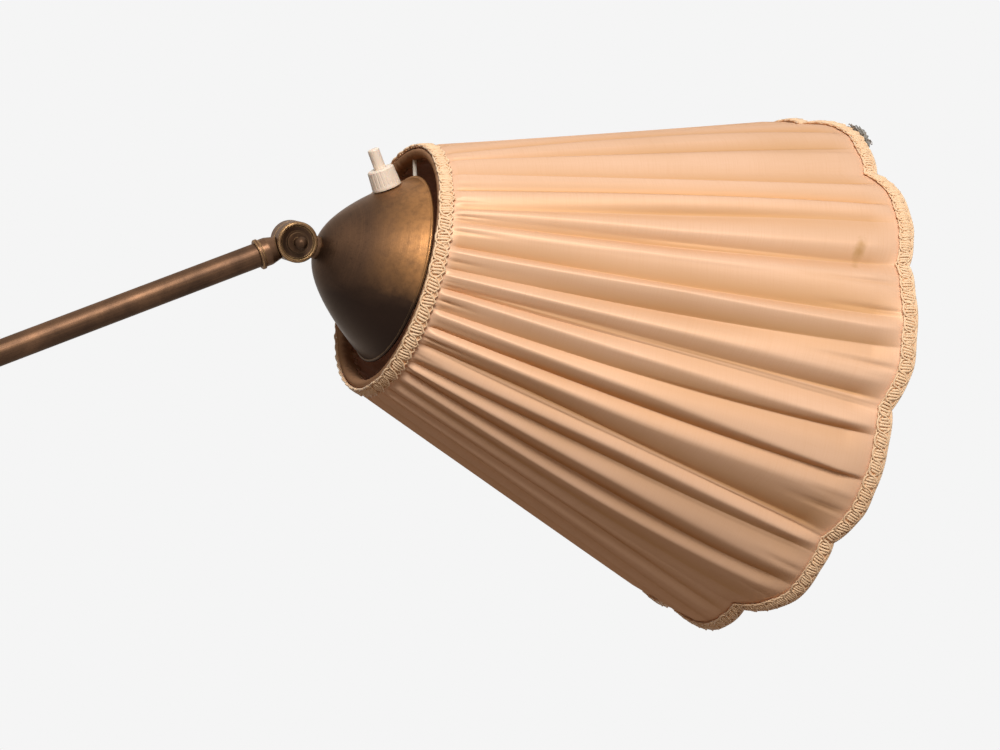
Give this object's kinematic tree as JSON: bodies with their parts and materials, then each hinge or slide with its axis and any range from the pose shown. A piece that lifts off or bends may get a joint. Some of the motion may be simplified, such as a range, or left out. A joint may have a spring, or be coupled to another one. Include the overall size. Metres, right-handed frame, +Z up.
{
  "type": "bridge floor lamp",
  "caption": "Floor lamp with a round weighted base, a column, a tilting arm and a tilting brass head that carries a gathered fabric shade with a scalloped mouth.",
  "frame": {"origin": "centre of the base's underside, on the floor", "axes": "+Z up the column, +X along the arm's reach, both knuckles turn about Y"},
  "size_m": [0.84, 0.3356, 1.3688],
  "materials": {
    "felt": "matt pressed felt",
    "iron": "rough, painted",
    "aged_brass": "patinated, satin, darker in the hollows",
    "plated_steel": "zinc plated",
    "spring_steel": "dark spring steel",
    "dark_plastic": "dark phenolic, dull",
    "lamp_cap_metal": "rolled thread",
    "opal_glass": "opal, satin",
    "cream_plastic": "aged white, slightly worn",
    "painted_wire": "white paint, chipped",
    "bare_wire": "tinned wire",
    "lining": "dark red-brown cotton",
    "satin": "gathered peach satin",
    "braid": "woven scroll gimp"
  },
  "bodies": {
    "stand": {"base_felt": "felt", "base_weight": "iron", "base_cover": "aged_brass", "base_washer": "plated_steel", "base_nut": "plated_steel", "base_rod": "plated_steel", "cord_grommet": "dark_plastic", "column_foot": "aged_brass", "column_bush": "plated_steel", "column_tube": "aged_brass", "column_knuckle": "aged_brass", "arm_pivot_screw": "aged_brass", "arm_ball_nut": "aged_brass", "arm_pivot_washer": "spring_steel"},
    "arm": {"arm_foot_knuckle": "aged_brass", "arm_tube": "aged_brass", "arm_head_knuckle": "aged_brass", "head_pivot_screw": "aged_brass", "head_ball_nut": "aged_brass", "head_pivot_washer": "spring_steel"},
    "head": {"head_knuckle": "aged_brass", "dome": "aged_brass", "dome_locknut": "plated_steel", "lampholder_cap": "dark_plastic", "lampholder_body": "dark_plastic", "bulb_cap": "lamp_cap_metal", "bulb_glass": "opal_glass", "switch_body": "cream_plastic", "switch_nut": "cream_plastic", "shade_ring_lower": "dark_plastic", "shade_ring_upper": "dark_plastic", "shade_carrier": "painted_wire", "shade_frame": "bare_wire", "shade_lining": "lining", "shade_cloth": "satin", "top_braid": "braid", "mouth_braid": "braid"},
    "plunger": {"switch_plunger": "cream_plastic"}
  },
  "joints": [
    {"name": "arm_tilt", "type": "hinge", "parent": "stand", "child": "arm", "pos_m": [0, 0, 1.18], "axis": [0, 1, 0], "range_deg": [-45, 35]},
    {"name": "head_tilt", "type": "hinge", "parent": "arm", "child": "head", "pos_m": [0.36015, 0, 1.3012], "axis": [0, 1, 0], "range_deg": [-80, 50]},
    {"name": "switch_push", "type": "slide", "parent": "head", "child": "plunger", "axis": [0.3499, 0, -0.9368], "range_m": [0, 0.003], "stiffness_N_per_m": 400}
  ]
}
